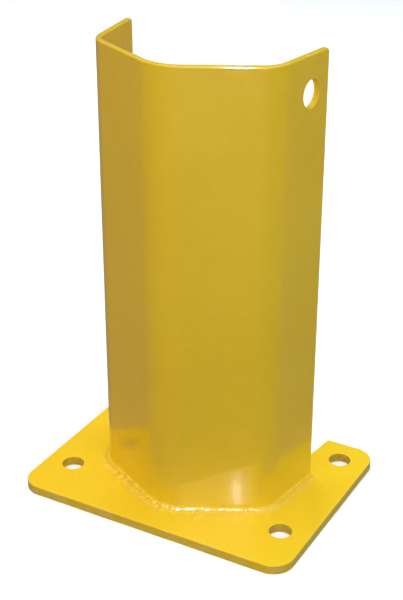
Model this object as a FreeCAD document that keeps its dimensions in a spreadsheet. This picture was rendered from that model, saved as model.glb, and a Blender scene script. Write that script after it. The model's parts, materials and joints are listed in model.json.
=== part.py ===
import FreeCAD, Part
import math
import os
import Sketcher

# Floor-mounted steel post protector: a V-nosed guard welded on a notched, drilled base plate.
# Frame: origin at the centre of the base plate's underside, +X to the right, -Y to the front
# (the nose of the guard), +Z up. Millimetres and degrees.

SIZES = (
    # base plate
    ("plate_width", 304.8, "left to right"),
    ("plate_depth", 228.6, "front to back"),
    ("plate_thickness", 9.5, "flat bar it is cut from"),
    ("plate_corner_radius", 22.0, "the four corners, seen from above"),
    ("plate_edge_radius", 1.0, "softened upper edge"),
    ("anchor_hole_diameter", 23.0, "clears a 20 mm or 3/4 inch floor anchor"),
    ("anchor_side_inset", 30.2, "hole centres from the plate's sides"),
    ("anchor_front_inset", 55.0, "front hole centres from the front edge"),
    ("anchor_back_inset", 30.2, "rear hole centres from the back edge"),
    ("cutout_ledge", 14.5, "plate left inside a flange, up to the cut-out"),
    ("cutout_front_gap", 22.5, "from the shoulders back to the cut-out's front edge"),
    # guard: one plate with a nose bend and two shoulder bends
    ("guard_height", 457.2, "above the base plate"),
    ("guard_thickness", 6.35, "plate it is bent from"),
    ("nose_setback", 30.0, "unrounded nose from the plate's front edge"),
    ("panel_angle", 27.5, "front panels against the plate's front edge"),
    ("shoulder_half_width", 96.0, "unrounded shoulders from the centre plane"),
    ("flange_length", 79.0, "unrounded shoulder to the flange's end"),
    ("flare_angle", 8.0, "flanges open towards the back"),
    ("nose_bend_radius", 45.0, "outside of the bend"),
    ("shoulder_bend_radius", 30.0, "outside of the bend"),
    ("flange_corner_radius", 5.0, "upper rear corner of each flange"),
    ("rim_radius", 2.0, "rounded upper and rear edges of the guard"),
    ("tie_hole_diameter", 27.0, "hole in each flange"),
    ("tie_hole_from_top", 36.5, "its centre below the guard's top"),
    ("tie_hole_from_end", 28.0, "its centre from the flange's end"),
    # fillet weld along the outside of the guard
    ("weld_plate_leg", 11.0, "leg on the base plate"),
    ("weld_guard_leg", 3.5, "leg on the guard"),
    ("weld_face_radius", 14.0, "convex face of the bead"),
)

NOSE_Y = "(Sizes.nose_setback - Sizes.plate_depth / 2)"
SHOULDER_Y = "(" + NOSE_Y + " + Sizes.shoulder_half_width * tan(Sizes.panel_angle))"
FLANGE_END_X = "(Sizes.shoulder_half_width + Sizes.flange_length * sin(Sizes.flare_angle))"
FLANGE_END_Y = "(" + SHOULDER_Y + " + Sizes.flange_length * cos(Sizes.flare_angle))"
ORIGIN = (-1, 1)
X_AXIS = -1
Y_AXIS = -2
START = 1
END = 2
CENTRE = 3

doc = FreeCAD.newDocument("post_protector")
sheet = doc.addObject("Spreadsheet::Sheet", "Sizes")
for row, (alias, size, note) in enumerate(SIZES, start=1):
    sheet.set("A%d" % row, alias)
    sheet.set("B%d" % row, str(size))
    sheet.set("C%d" % row, note)
    sheet.setAlias("B%d" % row, alias)
doc.recompute()


def size_of(alias):
    """The sheet's value under this alias."""
    return float(sheet.get(alias))


def direction(degrees):
    """Unit vector in the XY plane at this angle from +X."""
    return FreeCAD.Vector(math.cos(math.radians(degrees)), math.sin(math.radians(degrees)), 0)


# Points of the guard's outer face in plan, on the right-hand side, before the bends are rounded.
PANEL_WAY = direction(size_of("panel_angle"))
FLANGE_WAY = direction(90 - size_of("flare_angle"))
NOSE = FreeCAD.Vector(0, size_of("nose_setback") - size_of("plate_depth") / 2, 0)
SHOULDER = NOSE + PANEL_WAY * (size_of("shoulder_half_width") / PANEL_WAY.x)
FLANGE_END = SHOULDER + FLANGE_WAY * size_of("flange_length")
HALF_TURN = (90 - size_of("flare_angle") - size_of("panel_angle")) / 2


def mirrored(point):
    """The same point on the other side of the centre plane."""
    return FreeCAD.Vector(-point.x, point.y, point.z)


def new_body(label, height=None):
    """An empty body, raised by an expression when one is given."""
    body = doc.addObject("PartDesign::Body", label)
    body.Label = label
    if height:
        body.setExpression("Placement.Base.z", height)
    return body


def new_sketch(body, name, role):
    """A sketch on one of the body's own origin planes."""
    sketch = body.newObject("Sketcher::SketchObject", name)
    plane = [f for f in body.Origin.OriginFeatures if f.Role == role][0]
    sketch.AttachmentSupport = (plane, [""])
    sketch.MapMode = "FlatFace"
    return sketch


def constrain(sketch, expression, kind, *where):
    """Add a dimension whose value is an expression of the sheet."""
    index = sketch.addConstraint(Sketcher.Constraint(kind, *where))
    if expression:
        sketch.setExpression("Constraints[%d]" % index, expression)
    return index


def place_point(sketch, point, x_now, y_now, x_expression, y_expression):
    """Hold a point at two distances from the sketch's origin."""
    constrain(sketch, x_expression, "DistanceX", *ORIGIN, *point, x_now)
    constrain(sketch, y_expression, "DistanceY", *ORIGIN, *point, y_now)


def closed_outline(sketch, points):
    """Straight lines through the points and back to the first, joined end to end."""
    lines = []
    for start, end in zip(points, points[1:] + points[:1]):
        lines.append(sketch.addGeometry(Part.LineSegment(start, end), False))
    for line, following in zip(lines, lines[1:] + lines[:1]):
        sketch.addConstraint(Sketcher.Constraint("Coincident", line, END, following, START))
    return lines


def skeleton(sketch):
    """Construction lines of the right-hand panel and flange, unrounded; returns their indices."""
    panel = sketch.addGeometry(Part.LineSegment(NOSE, SHOULDER), True)
    flange = sketch.addGeometry(Part.LineSegment(SHOULDER, FLANGE_END), True)
    sketch.addConstraint(Sketcher.Constraint("Coincident", panel, END, flange, START))
    bind_skeleton(sketch, panel, START, flange)
    return panel, flange


def bind_skeleton(sketch, panel, nose_end, flange):
    """Dimensions of the right-hand panel and flange lines; nose_end is the panel's point at the nose."""
    sketch.addConstraint(Sketcher.Constraint("PointOnObject", panel, nose_end, Y_AXIS))
    constrain(sketch, NOSE_Y, "DistanceY", *ORIGIN, panel, nose_end, NOSE.y)
    constrain(sketch, "Sizes.shoulder_half_width", "DistanceX", *ORIGIN, flange, START, SHOULDER.x)
    angle = math.radians(size_of("panel_angle"))
    constrain(sketch, "Sizes.panel_angle * 1 deg", "Angle", panel, angle)
    angle = math.radians(90 - size_of("flare_angle"))
    constrain(sketch, "(90 - Sizes.flare_angle) * 1 deg", "Angle", flange, angle)
    constrain(sketch, "Sizes.flange_length", "Distance", flange, size_of("flange_length"))


def feature(body, kind, name, profile=None):
    """A new feature at the body's tip."""
    made = body.newObject("PartDesign::" + kind, name)
    if profile:
        made.Profile = profile
    return made


def pad(body, profile, name, length):
    """Extrude a profile upwards by an expression."""
    made = feature(body, "Pad", name, profile)
    made.setExpression("Length", length)
    doc.recompute()
    return made


def checked_cut(body, cut):
    """Recompute and make sure that the cut took material away."""
    before = cut.BaseFeature.Shape.Volume
    doc.recompute()
    if not cut.Shape.Volume < before - 1.0:
        raise RuntimeError(cut.Name + " cuts nothing")
    body.Tip = cut
    return cut


def fillet(body, name, radius, test):
    """Round the edges of the body's present shape that pass a test of two end points."""
    base = body.Tip
    chosen = []
    for number, edge in enumerate(base.Shape.Edges, start=1):
        first, last = edge.Vertexes[0].Point, edge.Vertexes[-1].Point
        if test(first, last):
            chosen.append("Edge%d" % number)
    made = feature(body, "Fillet", name)
    made.Base = (base, chosen)
    made.setExpression("Radius", radius)
    doc.recompute()
    return made


def near(first, second):
    """Whether two lengths agree to a hundredth of a millimetre."""
    return abs(first - second) < 0.01


def is_upright_at(point, first, last):
    """Whether an edge runs straight up from this point of the plan."""
    upright = near(first.x, last.x) and near(first.y, last.y) and not near(first.z, last.z)
    return upright and near(first.x, point.x) and near(first.y, point.y)


# ---------------------------------------------------------------- base plate
def plate_blank(body):
    """The rounded rectangle of flat bar."""
    half_width = size_of("plate_width") / 2
    half_depth = size_of("plate_depth") / 2
    corners = [FreeCAD.Vector(-half_width, -half_depth, 0), FreeCAD.Vector(half_width, -half_depth, 0),
               FreeCAD.Vector(half_width, half_depth, 0), FreeCAD.Vector(-half_width, half_depth, 0)]
    sketch = new_sketch(body, "plate_outline", "XY_Plane")
    lines = closed_outline(sketch, corners)
    for line in (lines[0], lines[2]):
        sketch.addConstraint(Sketcher.Constraint("Horizontal", line))
    for line in (lines[1], lines[3]):
        sketch.addConstraint(Sketcher.Constraint("Vertical", line))
    place_point(sketch, (lines[0], START), -half_width, -half_depth,
                "-Sizes.plate_width / 2", "-Sizes.plate_depth / 2")
    place_point(sketch, (lines[2], START), half_width, half_depth,
                "Sizes.plate_width / 2", "Sizes.plate_depth / 2")
    pad(body, sketch, "plate_pad", "Sizes.plate_thickness")
    fillet(body, "plate_corners", "Sizes.plate_corner_radius",
           lambda first, last: any(is_upright_at(corner, first, last) for corner in corners))
    top = size_of("plate_thickness")
    fillet(body, "plate_upper_edge", "Sizes.plate_edge_radius",
           lambda first, last: near(first.z, top) and near(last.z, top))


def plate_cutout(body):
    """The recess for the post, open to the back, with sides parallel to the flanges."""
    sketch = new_sketch(body, "cutout_outline", "XY_Plane")
    panel, flange = skeleton(sketch)
    inset = size_of("guard_thickness") + size_of("cutout_ledge")
    outward = direction(-size_of("flare_angle"))
    on_side = SHOULDER - outward * inset
    front_y = SHOULDER.y + size_of("cutout_front_gap")
    back_y = size_of("plate_depth") / 2 + size_of("plate_thickness")
    front = on_side + FLANGE_WAY * ((front_y - on_side.y) / FLANGE_WAY.y)
    back = on_side + FLANGE_WAY * ((back_y - on_side.y) / FLANGE_WAY.y)
    lines = closed_outline(sketch, [mirrored(front), front, back, mirrored(back)])
    front_line, side_line = lines[0], lines[1]
    sketch.addConstraint(Sketcher.Constraint("Parallel", side_line, flange))
    constrain(sketch, "Sizes.guard_thickness + Sizes.cutout_ledge", "Distance",
              side_line, START, flange, inset)
    constrain(sketch, "Sizes.cutout_front_gap", "DistanceY", panel, END, side_line, START,
              size_of("cutout_front_gap"))
    constrain(sketch, "Sizes.plate_depth / 2 + Sizes.plate_thickness", "DistanceY",
              *ORIGIN, side_line, END, back_y)
    sketch.addConstraint(Sketcher.Constraint("Symmetric", front_line, START, front_line, END, Y_AXIS))
    sketch.addConstraint(Sketcher.Constraint("Symmetric", lines[2], START, lines[2], END, Y_AXIS))
    cut = feature(body, "Pocket", "cutout", sketch)
    cut.Type = "ThroughAll"
    cut.Reversed = True
    checked_cut(body, cut)


def plate_anchor_holes(body):
    """Four floor anchor holes at the corners of a rectangle."""
    sketch = new_sketch(body, "anchor_hole_centres", "XY_Plane")
    side = "(Sizes.plate_width / 2 - Sizes.anchor_side_inset)"
    front = "(Sizes.anchor_front_inset - Sizes.plate_depth / 2)"
    back = "(Sizes.plate_depth / 2 - Sizes.anchor_back_inset)"
    side_now = size_of("plate_width") / 2 - size_of("anchor_side_inset")
    front_now = size_of("anchor_front_inset") - size_of("plate_depth") / 2
    back_now = size_of("plate_depth") / 2 - size_of("anchor_back_inset")
    up = FreeCAD.Vector(0, 0, 1)
    for sign in (-1, 1):
        for y_now, y_expression in ((front_now, front), (back_now, back)):
            centre = FreeCAD.Vector(sign * side_now, y_now, 0)
            radius = size_of("anchor_hole_diameter") / 2
            circle = sketch.addGeometry(Part.Circle(centre, up, radius), False)
            place_point(sketch, (circle, CENTRE), centre.x, centre.y, "%d * %s" % (sign, side), y_expression)
            constrain(sketch, "Sizes.anchor_hole_diameter / 2", "Radius", circle, radius)
    cut = feature(body, "Pocket", "anchor_holes", sketch)
    cut.Type = "ThroughAll"
    cut.Reversed = True
    checked_cut(body, cut)


def make_base_plate():
    body = new_body("base_plate")
    plate_blank(body)
    plate_cutout(body)
    plate_anchor_holes(body)
    return body


# ---------------------------------------------------------------- guard
def guard_section(body):
    """Plan of the bent plate with sharp bends: five outer corners and five inner ones."""
    wall = size_of("guard_thickness")
    inward_panel = FreeCAD.Vector(-PANEL_WAY.y, PANEL_WAY.x, 0) * wall
    inward_flange = FreeCAD.Vector(-FLANGE_WAY.y, FLANGE_WAY.x, 0) * wall
    inner_nose = NOSE + FreeCAD.Vector(0, wall / PANEL_WAY.x, 0)
    bisector = inward_panel + inward_flange
    inner_shoulder = SHOULDER + bisector * (wall * wall / inward_panel.dot(bisector))
    inner_end = FLANGE_END + inward_flange
    outer = [mirrored(FLANGE_END), mirrored(SHOULDER), NOSE, SHOULDER, FLANGE_END]
    inner = [inner_end, inner_shoulder, inner_nose, mirrored(inner_shoulder), mirrored(inner_end)]
    sketch = new_sketch(body, "guard_outline", "XY_Plane")
    lines = closed_outline(sketch, outer + inner)
    left_flange, left_panel, panel, flange, end, inner_flange, inner_panel = lines[:7]
    bind_skeleton(sketch, panel, START, flange)
    sketch.addConstraint(Sketcher.Constraint("Symmetric", left_panel, START, panel, END, Y_AXIS))
    sketch.addConstraint(Sketcher.Constraint("Symmetric", left_flange, START, flange, END, Y_AXIS))
    sketch.addConstraint(Sketcher.Constraint("Perpendicular", end, flange))
    sketch.addConstraint(Sketcher.Constraint("Parallel", inner_flange, flange))
    sketch.addConstraint(Sketcher.Constraint("Parallel", inner_panel, panel))
    constrain(sketch, "Sizes.guard_thickness", "Distance", end, wall)
    constrain(sketch, "Sizes.guard_thickness", "Distance", inner_panel, END, panel, wall)
    sketch.addConstraint(Sketcher.Constraint("PointOnObject", inner_panel, END, Y_AXIS))
    inner_left_panel, inner_left_flange = lines[7], lines[8]
    sketch.addConstraint(Sketcher.Constraint("Symmetric", inner_left_panel, END, inner_flange, END, Y_AXIS))
    sketch.addConstraint(Sketcher.Constraint("Symmetric", inner_left_flange, END, end, END, Y_AXIS))
    pad(body, sketch, "guard_pad", "Sizes.guard_height")
    return inner_nose, inner_shoulder


def guard_bends(body, inner_nose, inner_shoulder):
    """Round the nose bend and the two shoulder bends, outside and inside."""
    bends = (("nose", [NOSE], [inner_nose]),
             ("shoulder", [SHOULDER, mirrored(SHOULDER)], [inner_shoulder, mirrored(inner_shoulder)]))
    for name, outside, inside in bends:
        radius = "Sizes.%s_bend_radius" % name
        fillet(body, name + "_bend_outside", radius,
               lambda first, last: any(is_upright_at(corner, first, last) for corner in outside))
        fillet(body, name + "_bend_inside", radius + " - Sizes.guard_thickness",
               lambda first, last: any(is_upright_at(corner, first, last) for corner in inside))


def guard_tie_holes(body):
    """A round hole square through each flange, near its upper rear corner."""
    sketch = new_sketch(body, "tie_hole_centre", "YZ_Plane")
    rotation = FreeCAD.Rotation(FreeCAD.Vector(0, 1, 0), -size_of("flare_angle"))
    sketch.AttachmentOffset = FreeCAD.Placement(FreeCAD.Vector(FLANGE_END.y, 0, FLANGE_END.x), rotation)
    sketch.setExpression("AttachmentOffset.Base.x", FLANGE_END_Y)
    sketch.setExpression("AttachmentOffset.Base.z", FLANGE_END_X)
    sketch.setExpression("AttachmentOffset.Rotation.Angle", "-Sizes.flare_angle * 1 deg")
    from_end = -size_of("tie_hole_from_end")
    height = size_of("guard_height") - size_of("tie_hole_from_top")
    radius = size_of("tie_hole_diameter") / 2
    centre = FreeCAD.Vector(from_end, height, 0)
    circle = sketch.addGeometry(Part.Circle(centre, FreeCAD.Vector(0, 0, 1), radius), False)
    place_point(sketch, (circle, CENTRE), from_end, height,
                "-Sizes.tie_hole_from_end", "Sizes.guard_height - Sizes.tie_hole_from_top")
    constrain(sketch, "Sizes.tie_hole_diameter / 2", "Radius", circle, radius)
    cut = feature(body, "Pocket", "tie_hole", sketch)
    cut.setExpression("Length", "Sizes.guard_thickness * 1.5")
    checked_cut(body, cut)
    mirror = feature(body, "Mirrored", "tie_hole_pair")
    mirror.Originals = [cut]
    plane = [f for f in body.Origin.OriginFeatures if f.Role == "YZ_Plane"][0]
    mirror.MirrorPlane = (plane, [""])
    body.Tip = mirror
    doc.recompute()


def guard_edges(body):
    """Round each flange's upper rear corner, then the whole upper rim and the rear edges it runs into."""
    top = size_of("guard_height")
    wall = size_of("guard_thickness")

    def on_top(first, last):
        return near(first.z, top) and near(last.z, top)

    def across_end(first, last):
        return on_top(first, last) and near((first - last).Length, wall)

    def along_rim(first, last):
        return on_top(first, last) and not near((first - last).Length, wall)

    fillet(body, "flange_corners", "Sizes.flange_corner_radius", across_end)
    fillet(body, "rim", "Sizes.rim_radius", along_rim)


def make_guard_plate():
    body = new_body("guard_plate", "Sizes.plate_thickness")
    inner_nose, inner_shoulder = guard_section(body)
    guard_bends(body, inner_nose, inner_shoulder)
    guard_tie_holes(body)
    guard_edges(body)
    return body


# ---------------------------------------------------------------- weld
def tangent_arc(centre, radius, first_angle, last_angle):
    """Counter-clockwise arc between two directions seen from its centre, in degrees."""
    circle = Part.Circle(centre, FreeCAD.Vector(0, 0, 1), radius)
    return Part.ArcOfCircle(circle, math.radians(first_angle), math.radians(last_angle))


def shoulder_bisector(sketch, arc):
    """Construction line from the unrounded shoulder to the bend's centre; the arc stops on it."""
    centre = sketch.getPoint(arc, CENTRE)
    line = sketch.addGeometry(Part.LineSegment(SHOULDER, centre), True)
    sketch.addConstraint(Sketcher.Constraint("Coincident", line, END, arc, CENTRE))
    return line


def shoulder_bend_centre():
    """Centre of the right-hand shoulder bend."""
    reach = size_of("shoulder_bend_radius") / math.cos(math.radians(HALF_TURN))
    return SHOULDER + direction(size_of("panel_angle") + HALF_TURN + 90) * reach


def weld_section(sketch, foot, outward, foot_expression):
    """Cross-section of the bead: two legs from the corner of guard and plate, and a convex face."""
    plate_leg = size_of("weld_plate_leg")
    guard_leg = size_of("weld_guard_leg")
    radius = size_of("weld_face_radius")
    corner = FreeCAD.Vector(foot, 0, 0)
    toe = FreeCAD.Vector(foot + outward * plate_leg, 0, 0)
    top = FreeCAD.Vector(foot, guard_leg, 0)
    chord = toe - top
    middle = (toe + top) * 0.5
    inward = FreeCAD.Vector(-outward * guard_leg, -plate_leg, 0).normalize()
    centre = middle + inward * math.sqrt(radius ** 2 - chord.Length ** 2 / 4)
    angles = [math.degrees(math.atan2(p.y - centre.y, p.x - centre.x)) for p in (toe, top)]
    legs = [sketch.addGeometry(Part.LineSegment(corner, toe), False),
            sketch.addGeometry(Part.LineSegment(corner, top), False)]
    first, last = sorted(angles)
    toe_end = START
    if outward < 0:
        first, last = angles[1], angles[0] % 360
        toe_end = END
    face = sketch.addGeometry(tangent_arc(centre, radius, first, last), False)
    sketch.addConstraint(Sketcher.Constraint("Coincident", legs[0], START, legs[1], START))
    sketch.addConstraint(Sketcher.Constraint("Coincident", legs[0], END, face, toe_end))
    sketch.addConstraint(Sketcher.Constraint("Coincident", legs[1], END, face, START + END - toe_end))
    sketch.addConstraint(Sketcher.Constraint("PointOnObject", legs[0], START, X_AXIS))
    constrain(sketch, foot_expression, "DistanceX", *ORIGIN, legs[0], START, foot)
    sketch.addConstraint(Sketcher.Constraint("Horizontal", legs[0]))
    sketch.addConstraint(Sketcher.Constraint("Vertical", legs[1]))
    constrain(sketch, "Sizes.weld_plate_leg", "Distance", legs[0], plate_leg)
    constrain(sketch, "Sizes.weld_guard_leg", "Distance", legs[1], guard_leg)
    constrain(sketch, "Sizes.weld_face_radius", "Radius", face, radius)


def panel_weld_path(body):
    """Foot of the guard's outer face from the nose's apex to the middle of the right shoulder bend."""
    sketch = new_sketch(body, "panel_weld_path", "XY_Plane")
    panel, flange = skeleton(sketch)
    panel_angle = size_of("panel_angle")
    nose_radius = size_of("nose_bend_radius")
    bend_radius = size_of("shoulder_bend_radius")
    nose_centre = NOSE + FreeCAD.Vector(0, nose_radius / PANEL_WAY.x, 0)
    nose_arc = sketch.addGeometry(tangent_arc(nose_centre, nose_radius, -90, panel_angle - 90), False)
    bend_centre = shoulder_bend_centre()
    bend_arc = sketch.addGeometry(tangent_arc(bend_centre, bend_radius, panel_angle - 90,
                                              panel_angle - 90 + HALF_TURN), False)
    outward = direction(panel_angle - 90)
    run = sketch.addGeometry(Part.LineSegment(nose_centre + outward * nose_radius,
                                              bend_centre + outward * bend_radius), False)
    sketch.addConstraint(Sketcher.Constraint("PointOnObject", nose_arc, CENTRE, Y_AXIS))
    sketch.addConstraint(Sketcher.Constraint("PointOnObject", nose_arc, START, Y_AXIS))
    constrain(sketch, "Sizes.nose_bend_radius", "Radius", nose_arc, nose_radius)
    sketch.addConstraint(Sketcher.Constraint("Tangent", nose_arc, END, run, START))
    sketch.addConstraint(Sketcher.Constraint("Tangent", run, END, bend_arc, START))
    sketch.addConstraint(Sketcher.Constraint("PointOnObject", run, START, panel))
    sketch.addConstraint(Sketcher.Constraint("PointOnObject", run, END, panel))
    constrain(sketch, "Sizes.shoulder_bend_radius", "Radius", bend_arc, bend_radius)
    sketch.addConstraint(Sketcher.Constraint("Tangent", bend_arc, flange))
    bisector = shoulder_bisector(sketch, bend_arc)
    sketch.addConstraint(Sketcher.Constraint("Coincident", bisector, START, panel, END))
    sketch.addConstraint(Sketcher.Constraint("PointOnObject", bend_arc, END, bisector))
    return sketch


def flange_weld_path(body):
    """Foot of the guard's outer face from the right flange's end to the middle of the shoulder bend."""
    sketch = new_sketch(body, "flange_weld_path", "XY_Plane")
    panel, flange = skeleton(sketch)
    radius = size_of("shoulder_bend_radius")
    centre = shoulder_bend_centre()
    flange_side = -size_of("flare_angle")
    tangent_point = centre + direction(flange_side) * radius
    run = sketch.addGeometry(Part.LineSegment(FLANGE_END, tangent_point), False)
    arc = sketch.addGeometry(tangent_arc(centre, radius, flange_side - HALF_TURN, flange_side), False)
    sketch.addConstraint(Sketcher.Constraint("Coincident", run, START, flange, END))
    sketch.addConstraint(Sketcher.Constraint("PointOnObject", run, END, flange))
    sketch.addConstraint(Sketcher.Constraint("Tangent", arc, END, run, END))
    constrain(sketch, "Sizes.shoulder_bend_radius", "Radius", arc, radius)
    sketch.addConstraint(Sketcher.Constraint("Tangent", arc, panel))
    bisector = shoulder_bisector(sketch, arc)
    sketch.addConstraint(Sketcher.Constraint("Coincident", bisector, START, panel, END))
    sketch.addConstraint(Sketcher.Constraint("PointOnObject", arc, START, bisector))
    return sketch


def sweep_bead(body, section, path):
    """Carry the bead's section along its path."""
    sweep = feature(body, "AdditivePipe", body.Label + "_sweep", section)
    sweep.Spine = (path, [])
    doc.recompute()


def make_panel_weld():
    body = new_body("weld_right_panel", "Sizes.plate_thickness")
    path = panel_weld_path(body)
    section = new_sketch(body, "panel_weld_section", "YZ_Plane")
    apex = NOSE.y + size_of("nose_bend_radius") * (1 / PANEL_WAY.x - 1)
    weld_section(section, apex, -1,
                 NOSE_Y + " + Sizes.nose_bend_radius * (1 / cos(Sizes.panel_angle) - 1)")
    doc.recompute()
    sweep_bead(body, section, path)
    return body


def make_flange_weld():
    body = new_body("weld_right_flange", "Sizes.plate_thickness")
    path = flange_weld_path(body)
    section = new_sketch(body, "flange_weld_section", "XZ_Plane")
    rotation = FreeCAD.Rotation(FreeCAD.Vector(0, 1, 0), -size_of("flare_angle"))
    section.AttachmentOffset = FreeCAD.Placement(FreeCAD.Vector(FLANGE_END.x, 0, -FLANGE_END.y), rotation)
    section.setExpression("AttachmentOffset.Base.x", FLANGE_END_X)
    section.setExpression("AttachmentOffset.Base.z", "-" + FLANGE_END_Y)
    section.setExpression("AttachmentOffset.Rotation.Angle", "-Sizes.flare_angle * 1 deg")
    weld_section(section, 0, 1, None)
    doc.recompute()
    sweep_bead(body, section, path)
    return body


def opposite(body, label):
    """The same piece on the other side of the centre plane."""
    mirror = doc.addObject("Part::Mirroring", label)
    mirror.Label = label
    mirror.Source = body
    mirror.Normal = (1, 0, 0)
    doc.recompute()
    return mirror


def check_document():
    """Stop if anything in the document has failed."""
    for thing in doc.Objects:
        if "Invalid" in thing.State or "Error" in thing.State:
            raise RuntimeError("%s: %s" % (thing.Name, thing.State))


def write_parts(parts):
    """Write each piece, one closed solid, to a file of its own."""
    os.makedirs("parts", exist_ok=True)
    for part in parts:
        shape = part.Shape
        if shape.isNull() or not shape.isValid() or len(shape.Solids) != 1:
            raise RuntimeError(part.Label + " isn't one valid solid")
        shape.exportStep("parts/%s.step" % part.Label)
        print("%-18s %9.0f mm3" % (part.Label, shape.Volume))


panel_weld = make_panel_weld()
flange_weld = make_flange_weld()
pieces = [make_base_plate(), make_guard_plate(), panel_weld, flange_weld,
          opposite(panel_weld, "weld_left_panel"), opposite(flange_weld, "weld_left_flange")]
doc.recompute()
check_document()
write_parts(pieces)
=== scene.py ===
import json
import math
import bpy
import numpy as np
from mathutils import Matrix, Vector


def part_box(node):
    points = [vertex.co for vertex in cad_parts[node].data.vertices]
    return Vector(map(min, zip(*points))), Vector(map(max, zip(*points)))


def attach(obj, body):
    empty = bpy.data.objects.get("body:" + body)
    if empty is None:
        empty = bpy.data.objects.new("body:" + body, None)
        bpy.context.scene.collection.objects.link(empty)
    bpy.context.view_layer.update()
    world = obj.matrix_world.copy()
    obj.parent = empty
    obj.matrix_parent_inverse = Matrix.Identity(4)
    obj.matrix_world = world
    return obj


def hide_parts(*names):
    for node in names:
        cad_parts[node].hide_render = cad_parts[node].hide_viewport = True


# A yellow steel post protector: a bent guard welded on a drilled and notched base plate.
# Metres, in the part's own frame: +X to the right, -Y to the front, +Z up, the floor at Z = 0.

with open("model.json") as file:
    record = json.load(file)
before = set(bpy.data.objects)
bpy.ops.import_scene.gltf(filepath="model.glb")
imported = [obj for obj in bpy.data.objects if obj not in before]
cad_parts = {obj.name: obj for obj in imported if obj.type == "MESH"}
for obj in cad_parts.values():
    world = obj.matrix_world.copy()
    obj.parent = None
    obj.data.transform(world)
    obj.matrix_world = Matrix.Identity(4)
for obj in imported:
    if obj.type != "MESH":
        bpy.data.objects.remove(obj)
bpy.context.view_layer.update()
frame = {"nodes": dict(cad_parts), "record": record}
NODES = frame["nodes"]
MOUNTS = {mount["name"]: mount for mount in frame["record"]["mounts"]}

MM = 0.001
PLATE_LOW, PLATE_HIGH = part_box("base_plate")
GUARD_LOW, GUARD_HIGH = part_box("guard_plate")
PLATE_TOP = PLATE_HIGH[2]
PLATE_CORNER = 22 * MM

# Guard: its outer face in plan, before the bends are rounded, and the bends.
PANEL_ANGLE = math.radians(27.5)
FLARE_ANGLE = math.radians(8)
SHOULDER_TURN = math.pi / 2 - FLARE_ANGLE - PANEL_ANGLE
NOSE_BEND = 45 * MM
SHOULDER_BEND = 30 * MM
SHOULDER_HALF_WIDTH = 96 * MM
FLANGE_LENGTH = 79 * MM
NOSE_Y = GUARD_LOW[1] - NOSE_BEND * (1 / math.cos(PANEL_ANGLE) - 1)
SHOULDER_Y = NOSE_Y + SHOULDER_HALF_WIDTH * math.tan(PANEL_ANGLE)

# Cut-out in the plate for the post: its front edge behind the shoulders, its sides inside the flanges.
GUARD_THICKNESS = 6.35 * MM
CUTOUT_LEDGE = 14.5 * MM
CUTOUT_FRONT_GAP = 22.5 * MM
CUTOUT_FRONT = SHOULDER_Y + CUTOUT_FRONT_GAP
CUTOUT_INSET = GUARD_THICKNESS + CUTOUT_LEDGE

# Weld bead: its legs on the plate and up the guard, and how far its back sinks into both of those.
BEAD_PLATE_LEG = 11 * MM
BEAD_GUARD_LEG = 3.5 * MM
BEAD_SINK = 0.1 * MM
BEAD_END_ROUNDING = 5 * MM
BEAD_ROW_PITCH = 0.4 * MM
BEAD_COLUMNS = 25
# The ridge's place and width are shares of the way from the guard to the toe.
RIDGE_PLACE = 0.24
RIDGE_WIDTH = 0.11
RIDGE_HEIGHT = 1.7 * MM
RIPPLE_HEIGHT = 0.16 * MM
LUMP_HEIGHT = 0.28 * MM
RIPPLE_PITCH = 2.4 * MM
SMOOTHING_STRETCH = 20 * MM
# Droplets beside the weld.
DROPLET_COUNT = 90
DROPLET_REACH = 3.5 * MM
DROPLET_EDGE_GAP = 3 * MM

# Paint colours, as shares of light sent back.
YELLOW = (0.905, 0.630, 0.020, 1)
YELLOW_THIN = (0.92, 0.670, 0.028, 1)
YELLOW_DEEP = (0.885, 0.595, 0.015, 1)
# Pale paint of scuffs and scratches; along edges it is also a painted highlight.
PALE_SCUFF_AND_SHEEN = (0.93, 0.74, 0.22, 1)
PRIMER = (0.20, 0.15, 0.085, 1)
# Brown of dirt; it also paints shade on the anchor holes' walls and at the bead's toe.
DIRT_AND_SHADE_BROWN = (0.36, 0.23, 0.035, 1)
COAT_ROUGHNESS = 0.03
# Shine of the coloured layer under the clear one, on the plates and on the rougher weld beads.
UNDERCOAT_SHINE = 0.12
BEAD_SHINE = 0.5
BEAD_LUMPS = 0.05 * MM


# ---------------------------------------------------------------- node maths
def maths(operation, swapped=False):
    """An operator that adds one Math node."""
    def operator(self, other=0.0):
        first, second = (other, self) if swapped else (self, other)
        return self.nodes.add("Math", {"operation": operation}, {0: first, 1: second})
    return operator


class Value:
    """An output socket; arithmetic with it adds Math nodes."""

    def __init__(self, nodes, socket):
        self.nodes = nodes
        self.socket = socket

    __add__ = __radd__ = maths("ADD")
    __mul__ = __rmul__ = maths("MULTIPLY")
    __sub__ = maths("SUBTRACT")
    __rsub__ = maths("SUBTRACT", swapped=True)
    __pow__ = maths("POWER")
    __abs__ = maths("ABSOLUTE")
    __gt__ = maths("GREATER_THAN")
    lower_of = maths("MINIMUM")
    higher_of = maths("MAXIMUM")


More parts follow.
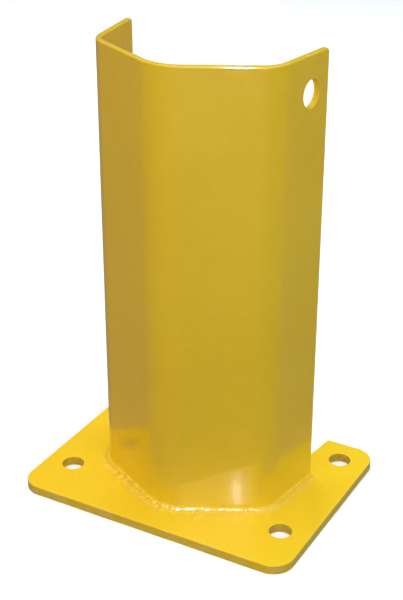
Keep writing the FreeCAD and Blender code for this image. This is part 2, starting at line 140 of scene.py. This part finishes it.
class Nodes:
    """A node tree in the making."""

    def __init__(self, tree, coordinates="Object"):
        tree.nodes.clear()
        self.tree = tree
        self.place = self.add("TexCoord", output=coordinates)
        self.x, self.y, self.z = (self.add("SeparateXYZ", {}, {0: self.place}, axis) for axis in "XYZ")

    def add(self, kind, settings=None, sockets=None, output=0):
        """A node: its settings first, then the numbers, colours or links of its sockets."""
        made = self.tree.nodes.new("ShaderNode" + kind)
        for name, choice in (settings or {}).items():
            setattr(made, name, choice)
        for key, feed in (sockets or {}).items():
            self.plug(made.inputs[key], feed)
        return Value(self, made.outputs[output]) if made.outputs else made

    def plug(self, socket, feed):
        """Link a value to a socket, or set the socket to a number or colour."""
        if isinstance(feed, Value):
            self.tree.links.new(feed.socket, socket)
        else:
            socket.default_value = feed

    def ease(self, number, low, high):
        """0 up to low, 1 from high on and smooth between."""
        return self.add("MapRange", {"interpolation_type": "SMOOTHSTEP"}, {0: number, 1: low, 2: high})

    def noise(self, size, detail=2.0, stretch=(1, 1, 1)):
        """Clouds about this many metres across, averaging one half."""
        where = self.add("VectorMath", {"operation": "MULTIPLY"}, {0: self.place, 1: stretch})
        return self.add("TexNoise", {}, {"Vector": where, "Scale": 1 / size, "Detail": detail})

    def cells(self, size, output="Distance"):
        """Scattered points about this far apart: the distance to the nearest, or its colour."""
        return self.add("TexVoronoi", {}, {"Vector": self.place, "Scale": 1 / size}, output)

    def mix(self, share, first, second):
        """From the first colour to the second."""
        return self.add("Mix", {"data_type": "RGBA"}, {0: share, 6: first, 7: second}, 2)

    def distance(self, first, second):
        """Length of the hypotenuse."""
        return (first ** 2.0 + second ** 2.0) ** 0.5


# ---------------------------------------------------------------- paint
def specks(nodes, spacing, radius, share):
    """Scattered round domes: 1 at the middle of a speck, 0 outside it; share of the points used."""
    chosen = nodes.add("SeparateXYZ", {}, {0: nodes.cells(spacing, "Color")}, "X")
    near = nodes.cells(spacing) * spacing
    return (1 - nodes.ease(near, 0.2 * radius, radius)) * (chosen > 1 - share)


def hairlines(nodes, size, stretch, width):
    """Thin wandering lines: where a drawn-out cloud passes through one half, in patches."""
    cloud = nodes.noise(size, 1.0, stretch)
    patch = nodes.ease(nodes.noise(70 * MM, 1.0), 0.52, 0.62)
    return (1 - nodes.ease(abs(cloud - 0.5), 0.0, width)) * patch


def painted(name, edges, grime_and_shading, lumps=0.0, shine=UNDERCOAT_SHINE):
    """Glossy yellow powder coat over steel.

    Both mask arguments are functions of the nodes: the first gives where two faces meet, the second
    where dirt settles and where shade is painted in. The paint is thinner and paler on edges, and that
    paleness also stands as a painted highlight; there are a few chips down to the primer. Lumps is
    the height of small swellings in it, and shine that of the coloured layer under the clear one.
    """
    material = bpy.data.materials.new(name)
    material.use_nodes = True
    nodes = Nodes(material.node_tree)
    edge = edges(nodes)
    dirt_and_shade = grime_and_shading(nodes)
    drift = nodes.ease(nodes.noise(120 * MM, 3.0), 0.3, 0.7)
    mottle = nodes.noise(9 * MM, 4.0)
    wave = nodes.noise(14 * MM, 0.0)
    peel = nodes.noise(2.6 * MM, 0.0)
    grain = nodes.noise(0.5 * MM, 1.0)
    nibs = specks(nodes, 16 * MM, 0.9 * MM, 0.30)
    pits = specks(nodes, 11 * MM, 0.55 * MM, 0.18)
    lines = hairlines(nodes, 60 * MM, (1, 1, 0.12), 0.0035)
    rubs = hairlines(nodes, 45 * MM, (0.15, 1, 1.3), 0.003)
    scratch = lines.higher_of(rubs)
    chip = nodes.ease(edge * nodes.noise(2.4 * MM, 3.0) + 0.25 * nodes.noise(60 * MM, 1.0), 0.83, 0.86)
    # Edges made paler, partly as thin paint and partly as a painted highlight where light catches them.
    thin_paint_and_sheen = nodes.ease(edge, 0.35, 1.0) * nodes.ease(nodes.noise(14 * MM, 3.0), 0.35, 0.7)

    colour = nodes.mix(drift, YELLOW_DEEP, YELLOW)
    colour = nodes.mix(nodes.ease(mottle, 0.45, 0.75) * 0.35, colour, YELLOW_THIN)
    colour = nodes.mix(thin_paint_and_sheen * 0.35, colour, PALE_SCUFF_AND_SHEEN)
    colour = nodes.mix(scratch * 0.15, colour, PALE_SCUFF_AND_SHEEN)
    # Dirt, and painted shade where the plate's holes and the bead's toe are darkened.
    colour = nodes.mix(dirt_and_shade * 0.45, colour, DIRT_AND_SHADE_BROWN)
    colour = nodes.mix(pits * 0.55, colour, DIRT_AND_SHADE_BROWN)
    colour = nodes.mix(chip, colour, PRIMER)

    rough = 0.40 + 0.12 * mottle + 0.12 * scratch + 0.18 * dirt_and_shade + 0.25 * chip
    gloss = 1 - 0.75 * (chip.higher_of(dirt_and_shade * 0.5)).higher_of(pits * 0.4)
    height = 0.010 * MM * peel + 0.0008 * MM * grain + 0.05 * MM * nibs + 0.035 * MM * wave
    height = height - 0.05 * MM * pits - 0.012 * MM * scratch - 0.10 * MM * chip
    if lumps:
        height = height + lumps * nodes.noise(3 * MM, 1.0)
    bump = nodes.add("Bump", {}, {"Strength": 1.0, "Distance": 1.0, "Height": height})
    shader = nodes.add("BsdfPrincipled", {}, {
        "Base Color": colour, "Roughness": rough, "Metallic": 0.15 * chip, "Normal": bump,
        "Specular IOR Level": shine, "Coat Weight": gloss, "Coat Roughness": COAT_ROUGHNESS})
    nodes.add("OutputMaterial", {}, {"Surface": shader})
    return material


def ring_edge(nodes, first, second, radius, width):
    """1 on the edge of a round hole and inside it, 0 at a width outside it."""
    return 1 - nodes.ease(nodes.distance(first, second), radius, radius + width)


def guard_edges(nodes):
    """The guard's rim, its rear edges and the edges of its two tie holes."""
    tie = MOUNTS["tie_hole_right"]
    rim = nodes.ease(nodes.z, GUARD_HIGH[2] - 3 * MM, GUARD_HIGH[2])
    rear = nodes.ease(nodes.y, GUARD_HIGH[1] - 3 * MM, GUARD_HIGH[1])
    hole = ring_edge(nodes, nodes.y - tie["pos_m"][1], nodes.z - tie["pos_m"][2],
                     tie["dims"]["r_mm"] * MM, 2 * MM)
    return rim.higher_of(rear).higher_of(hole)


def guard_grime(nodes):
    """Dust in patches along the guard's foot."""
    foot = 1 - nodes.ease(nodes.z, PLATE_TOP + 2 * MM, PLATE_TOP + 26 * MM)
    return 0.35 * foot * nodes.ease(nodes.noise(22 * MM, 4.0), 0.45, 0.80)


def anchor_rings(nodes, width):
    """1 in the four anchor holes, 0 at a width outside them."""
    anchors = MOUNTS["floor_anchors"]
    radius = anchors["dims"]["hole_r_mm"] * MM
    side = abs(nodes.x) - anchors["dims"]["spacing_x_mm"] * MM / 2
    row = abs(nodes.y - anchors["pos_m"][1]) - anchors["dims"]["spacing_y_mm"] * MM / 2
    return ring_edge(nodes, side, row, radius, width)


def plate_edges(nodes):
    """The plate's outline, the edges of its anchor holes and of its cut-out."""
    across = abs(nodes.x) - (PLATE_HIGH[0] - PLATE_CORNER)
    along = abs(nodes.y) - (PLATE_HIGH[1] - PLATE_CORNER)
    corner = nodes.distance(across.higher_of(0.0), along.higher_of(0.0))
    inside = across.higher_of(along).lower_of(0.0)
    edge = nodes.ease(corner + inside - PLATE_CORNER, -2.6 * MM, -0.2 * MM)
    edge = edge.higher_of(anchor_rings(nodes, 2 * MM))
    slope = (abs(nodes.x) - SHOULDER_HALF_WIDTH) * math.cos(FLARE_ANGLE)
    slope = slope - (nodes.y - SHOULDER_Y) * math.sin(FLARE_ANGLE) + CUTOUT_INSET
    return edge.higher_of(1 - nodes.ease(slope.higher_of(CUTOUT_FRONT - nodes.y), 0.2 * MM, 2.4 * MM))


def plate_grime_and_hole_shade(nodes):
    """Dirt on the underside and on the plate's lowest edge, and painted shade on the anchor holes' walls."""
    foot = 1 - nodes.ease(nodes.z, 0.3 * MM, 2.5 * MM)
    foot = foot * nodes.ease(nodes.noise(15 * MM, 4.0), 0.35, 0.6)
    # Painted shade: the anchor holes' walls are darkened, in patches.
    hole_wall_shade = anchor_rings(nodes, 0.5 * MM) * (0.35 + 0.5 * nodes.ease(nodes.noise(5 * MM, 3.0), 0.35, 0.65))
    return foot.higher_of(hole_wall_shade)


def bead_edges(nodes):
    """No edge: the bead is rounded all over."""
    return nodes.x * 0.0


def bead_toe_grime_and_shade(nodes):
    """Painted shade and dirt in patches along the bead's toe, where it meets the plate."""
    across = nodes.add("Attribute", {"attribute_name": "across"}, {}, "Fac")
    # Painted shade with dirt: the toe, where the bead meets the plate, is darkened.
    toe = nodes.ease(across, 0.80, 0.98)
    return toe * nodes.ease(nodes.noise(7 * MM, 3.0), 0.30, 0.60)


# ---------------------------------------------------------------- weld bead
def bead_stretches():
    """Lengths of half the nose bend, a panel, a shoulder bend and a flange along the guard's foot."""
    nose_cut = NOSE_BEND * math.tan(PANEL_ANGLE)
    shoulder_cut = SHOULDER_BEND * math.tan(SHOULDER_TURN / 2)
    panel = SHOULDER_HALF_WIDTH / math.cos(PANEL_ANGLE) - nose_cut - shoulder_cut
    return (NOSE_BEND * PANEL_ANGLE, panel, SHOULDER_BEND * SHOULDER_TURN, FLANGE_LENGTH - shoulder_cut)


STRETCHES = bead_stretches()
FOOT_END = sum(STRETCHES)
RUN_JOINT = STRETCHES[0] + STRETCHES[1] + STRETCHES[2] / 2


def guard_foot(along):
    """Points and outward directions at lengths along the foot of the guard's outer face.

    Lengths count from the nose, positive to the right. The heading is level with X at the nose,
    turns evenly through each bend and holds on each straight; a point is the sum of the steps to it.
    """
    ends = np.concatenate([[0.0], np.cumsum(STRETCHES)])
    flange_heading = math.pi / 2 - FLARE_ANGLE
    headings = (0.0, PANEL_ANGLE, PANEL_ANGLE, flange_heading, flange_heading)
    fine = np.linspace(0.0, FOOT_END, 4001)
    turned = np.interp((fine[1:] + fine[:-1]) / 2, ends, headings)
    x = np.concatenate([[0.0], np.cumsum(np.cos(turned))]) * fine[1]
    y = np.concatenate([[0.0], np.cumsum(np.sin(turned))]) * fine[1] + GUARD_LOW[1]
    away = np.abs(along)
    side = np.where(along < 0, -1.0, 1.0)
    heading = np.interp(away, ends, headings)
    points = np.stack([side * np.interp(away, fine, x), np.interp(away, fine, y)], axis=-1)
    outward = np.stack([side * np.sin(heading), -np.cos(heading)], axis=-1)
    return points, outward


def wander(along, seed, longest, shortest):
    """A smooth number, mostly within 1.5 of 0: eight sines from longest to shortest, with seeded phases."""
    phases = np.random.default_rng(seed).uniform(0.0, 2 * math.pi, 8)
    lengths = np.geomspace(longest, shortest, 8)
    return np.sin(2 * math.pi * along[..., None] / lengths + phases).sum(axis=-1) / math.sqrt(8)


def bead_face(along, across):
    """Points of the bead's face: across is 0 on the guard and 1 at the toe on the plate.

    The face falls from the guard in a hollow curve that meets the plate almost flat, with a rounded
    ridge near the guard. Crescent-shaped ripples, which are the height of a half sine at each pitch,
    and lumps that wander are added to it. The legs wander too, and shrink to about a seventh round
    the bead's two ends. Along the flanges the bead is smoother.
    """
    points, outward = guard_foot(along)
    past = np.clip((np.abs(along) - (FOOT_END - BEAD_END_ROUNDING)) / BEAD_END_ROUNDING, 0.0, 1.0)
    full = np.sqrt(1.0 - past ** 2 * 0.98)
    hand_laid = 1.0 - 0.75 * np.clip((np.abs(along) - RUN_JOINT) / SMOOTHING_STRETCH + 0.5, 0.0, 1.0)
    plate_leg = BEAD_PLATE_LEG * (0.96 + 0.06 * hand_laid * wander(along, 11, 45 * MM, 6 * MM)) * full
    guard_leg = BEAD_GUARD_LEG * (1 + 0.14 * hand_laid * wander(along, 12, 38 * MM, 5 * MM)) * full
    middle = RIDGE_PLACE + 0.05 * hand_laid * wander(along, 17, 30 * MM, 8 * MM)
    ridge = np.exp(-((across - middle) / RIDGE_WIDTH) ** 2)
    ridge = ridge * RIDGE_HEIGHT * (1 + 0.30 * hand_laid * wander(along, 15, 24 * MM, 5 * MM))
    bow = 0.5 * (2 * across - 1) ** 2
    turn = along / RIPPLE_PITCH + 0.8 * wander(along, 13, 60 * MM, 7 * MM)
    ripple = RIPPLE_HEIGHT * (np.abs(np.sin(math.pi * (turn + bow))) - 0.64)
    lump = LUMP_HEIGHT * wander(along + 6 * MM * across, 14, 26 * MM, 4 * MM)
    swell = np.sin(math.pi * across) ** 0.7 * full
    up = guard_leg * (1 - across) ** 1.6 + swell * (ridge + hand_laid * (ripple + lump))
    out = plate_leg * across - BEAD_SINK * (1 - across)
    return np.stack([points[..., 0] + outward[..., 0] * out,
                     points[..., 1] + outward[..., 1] * out,
                     PLATE_TOP + up - BEAD_SINK * across], axis=-1)


def mesh_piece(name, points, faces, material, across):
    """A smooth mesh object riding with the part, with a share across the bead at each point."""
    mesh = bpy.data.meshes.new(name)
    mesh.from_pydata(points.tolist(), [], faces)
    mesh.update()
    mesh.shade_smooth()
    mesh.attributes.new("across", "FLOAT", "POINT").data.foreach_set("value", across)
    mesh.materials.append(material)
    piece = bpy.data.objects.new(name, mesh)
    bpy.context.scene.collection.objects.link(piece)
    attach(piece, "root")
    return piece


def weld_run(node, start, end, material):
    """One closed run of bead: its face carried along the guard's foot, the corner under it and two caps."""
    rows = int((end - start) / BEAD_ROW_PITCH)
    share = np.linspace(0.0, 1.0, BEAD_COLUMNS)
    along = np.linspace(start, end, rows)
    face = bead_face(np.repeat(along[:, None], share.size, axis=1), share[None, :])
    points, outward = guard_foot(along)
    under = np.column_stack([points - outward * BEAD_SINK, np.full(rows, PLATE_TOP - BEAD_SINK)])
    rings = np.concatenate([under[:, None, :], face], axis=1)
    size = rings.shape[1]
    corner = np.arange(rows - 1)[:, None] * size + np.arange(size)[None, :]
    following = np.arange(rows - 1)[:, None] * size + np.roll(np.arange(size), -1)[None, :]
    quads = np.stack([corner, following, following + size, corner + size], axis=-1).reshape(-1, 4)
    caps = [list(range(size))[::-1], list(range((rows - 1) * size, rows * size))]
    across = np.tile(np.concatenate([[0.0], share]), rows).astype(np.float32)
    run = mesh_piece(node + "_bead", rings.reshape(-1, 3), quads.tolist() + caps, material, across)
    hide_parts(node)


def spatter(count, material):
    """Droplets thrown off the weld: closed domes, sunk by a third of their radius, outside the toe."""
    rng = np.random.default_rng(31)
    along = rng.uniform(-RUN_JOINT, RUN_JOINT, count)
    reach = BEAD_PLATE_LEG * 1.12 + rng.exponential(DROPLET_REACH, count)
    radius = rng.uniform(0.25, 0.75, count) * MM
    foot, outward = guard_foot(along)
    centre = np.column_stack([foot + outward * reach[:, None], np.full(count, PLATE_TOP)])
    centre[:, 1] = np.maximum(centre[:, 1], PLATE_LOW[1] + DROPLET_EDGE_GAP)
    turns, levels = 10, 6
    angle = np.linspace(0.0, 2 * math.pi, turns, endpoint=False)
    level = np.linspace(-0.3, 1.0, levels)[:-1] * math.pi / 2
    ring = np.stack([np.cos(level)[:, None] * np.cos(angle), np.cos(level)[:, None] * np.sin(angle),
                     np.repeat(np.sin(level)[:, None], turns, axis=1)], axis=-1).reshape(-1, 3)
    dome = np.concatenate([ring, [[0, 0, 1.0]]]) * (1.0, 1.0, 0.75)
    points = (centre[:, None, :] + dome[None] * radius[:, None, None]).reshape(-1, 3)
    faces = []
    here = np.arange(turns)
    beside = np.roll(here, -1)
    for row in range(levels - 2):
        faces += np.stack([row * turns + here, row * turns + beside,
                           (row + 1) * turns + beside, (row + 1) * turns + here], axis=-1).tolist()
    top = (levels - 2) * turns
    faces += np.stack([top + here, top + beside, np.full(turns, len(dome) - 1)], axis=-1).tolist()
    faces.append(here[::-1].tolist())
    every = [[index + drop * len(dome) for index in face] for drop in range(count) for face in faces]
    across = np.full(len(points), 0.5, np.float32)
    mesh_piece("weld_spatter", points, every, material, across)


# ---------------------------------------------------------------- studio
HEADING = math.radians(-28.842)
PITCH = math.radians(-26.532)
ROLL = math.radians(0.20)
CAMERA_AT = Vector((0.5624, -1.0093, 0.7872))
LENS = 78.443
SHIFT = (-0.0093, -0.0049)


def make_camera():
    """A camera turned from north by its heading, then tipped and rolled."""
    data = bpy.data.cameras.new("camera")
    data.lens = LENS
    data.sensor_width = 36.0
    data.shift_x, data.shift_y = SHIFT
    data.clip_end = 50.0
    camera = bpy.data.objects.new("camera", data)
    bpy.context.scene.collection.objects.link(camera)
    ahead = Vector((math.sin(HEADING) * math.cos(PITCH), math.cos(HEADING) * math.cos(PITCH),
                    math.sin(PITCH)))
    level = Vector((math.cos(HEADING), -math.sin(HEADING), 0))
    upright = level.cross(ahead)
    right = level * math.cos(ROLL) + upright * math.sin(ROLL)
    up = upright * math.cos(ROLL) - level * math.sin(ROLL)
    turn = Matrix((right, up, -ahead)).transposed().to_4x4()
    camera.matrix_world = Matrix.Translation(CAMERA_AT) @ turn
    bpy.context.scene.camera = camera


WHITE = (1.0, 1.0, 1.0)
AIM = Vector((0.0, -0.02, 0.18))
# Name, place, width, height, watts and colour.
PANELS = (
    ("fill_left", (-1.3, -1.5, 0.9), 1.2, 1.2, 10.2, (1.0, 0.68, 0.66)),
    ("fill_right", (1.7, -1.0, 0.8), 1.2, 1.2, 5.4, (1.0, 0.96, 0.96)),
    ("back_left", (-1.2, 1.3, 1.1), 1.0, 1.0, 9.6, WHITE),
    ("back_right", (1.4, 1.2, 0.9), 1.0, 1.0, 8.0, WHITE),
)
OVERHEAD_STRENGTH = 2.05
FLASH_WATTS = 4.8
FLASH_SIZE = (0.016, 0.055)
# Small lamps that only the gloss shows: name, place from the camera, watts.
GLINTS = (
    ("corner_glint", Vector((0.009, 0.005, -0.04)), 20.0),
    ("weld_glint", Vector((0, 0, 0.28)), 38.0),
)
# Strengths of the sky overhead and low down, of the ground, and of the backdrop that is seen.
SKY_TOP = 0.30
SKY_LOW = 0.01
GROUND_GLOW = 0.20
BACKDROP = 1.0
FLOOR_REACH = 8.0


def area_light(name, place, width, height, watts, colour, glint=False):
    """A rectangular lamp aimed at the part. A glint shows only in the gloss, any other only lights it."""
    data = bpy.data.lights.new(name, "AREA")
    data.shape = "RECTANGLE"
    data.size, data.size_y = width, height
    data.energy = watts
    data.color = colour
    lamp = bpy.data.objects.new(name, data)
    bpy.context.scene.collection.objects.link(lamp)
    lamp.location = place
    lamp.rotation_euler = (AIM - Vector(place)).to_track_quat("-Z", "Y").to_euler()
    lamp.visible_glossy = glint
    lamp.visible_diffuse = not glint


def overhead_light(strength, colour):
    """Light from a wide overhead diffuser."""
    data = bpy.data.lights.new("overhead", "SUN")
    data.energy = strength
    data.color = colour
    data.angle = math.radians(70)
    lamp = bpy.data.objects.new("overhead", data)
    bpy.context.scene.collection.objects.link(lamp)
    lamp.rotation_euler = Vector((-0.15, 0.1, 1.0)).to_track_quat("Z", "Y").to_euler()
    lamp.visible_glossy = False


def studio_world():
    """Brightest at the zenith, dim near the horizon, with a mid-grey ground for the paint to mirror.

    Seen directly, it is a pale backdrop.
    """
    world = bpy.data.worlds.new("studio")
    bpy.context.scene.world = world
    world.use_nodes = True
    nodes = Nodes(world.node_tree, "Generated")
    height = nodes.ease(nodes.z, 0.45, 0.98)
    below = 1 - nodes.ease(nodes.z, -0.06, 0.0)
    sky = SKY_LOW + (SKY_TOP - SKY_LOW) * height
    seen = nodes.add("LightPath", output="Is Camera Ray")
    lit = sky + (GROUND_GLOW - SKY_LOW) * below
    background = nodes.add("Background", {}, {"Color": (1, 1, 1, 1),
                                              "Strength": lit * (1 - seen) + BACKDROP * seen})
    nodes.add("OutputWorld", {}, {"Surface": background})


def white_floor():
    """A plain white floor that the paint neither mirrors nor picks up light from."""
    mesh = bpy.data.meshes.new("floor")
    reach = FLOOR_REACH
    mesh.from_pydata([(-reach, -reach, 0), (reach, -reach, 0), (reach, reach, 0), (-reach, reach, 0)],
                     [], [(0, 1, 2, 3)])
    material = bpy.data.materials.new("floor_white")
    material.use_nodes = True
    nodes = Nodes(material.node_tree)
    tone = nodes.mix(nodes.noise(0.4, 2.0), (0.88, 0.92, 0.95, 1), (0.90, 0.93, 0.95, 1))
    shader = nodes.add("BsdfPrincipled", {}, {"Base Color": tone, "Roughness": 0.8,
                                           "Emission Color": (0.80, 0.95, 1.0, 1), "Emission Strength": 0.12})
    nodes.add("OutputMaterial", {}, {"Surface": shader})
    mesh.materials.append(material)
    floor = bpy.data.objects.new("floor", mesh)
    bpy.context.scene.collection.objects.link(floor)
    floor.visible_diffuse = False
    floor.visible_glossy = False


def give(node, material):
    """Put a finish on every slot of a CAD node."""
    piece = NODES[node]
    if not piece.material_slots:
        piece.data.materials.append(material)
    for slot in piece.material_slots:
        slot.material = material


make_camera()
studio_world()
overhead_light(OVERHEAD_STRENGTH, WHITE)
for panel in PANELS:
    area_light(*panel)
area_light("flash", CAMERA_AT, *FLASH_SIZE, FLASH_WATTS, WHITE)
for name, offset, watts in GLINTS:
    area_light(name, CAMERA_AT + offset, *FLASH_SIZE, watts, WHITE, glint=True)
bpy.context.scene.view_settings.view_transform = "Standard"
white_floor()

give("guard_plate", painted("guard_powder_coat", guard_edges, guard_grime))
give("base_plate", painted("plate_powder_coat", plate_edges, plate_grime_and_hole_shade))
bead_coat = painted("bead_powder_coat", bead_edges, bead_toe_grime_and_shade, BEAD_LUMPS, BEAD_SHINE)
for side, sign in (("right", 1), ("left", -1)):
    weld_run("weld_%s_panel" % side, *sorted((0.0, sign * RUN_JOINT)), bead_coat)
    weld_run("weld_%s_flange" % side, *sorted((sign * RUN_JOINT, sign * FOOT_END)), bead_coat)
spatter(DROPLET_COUNT, bead_coat)
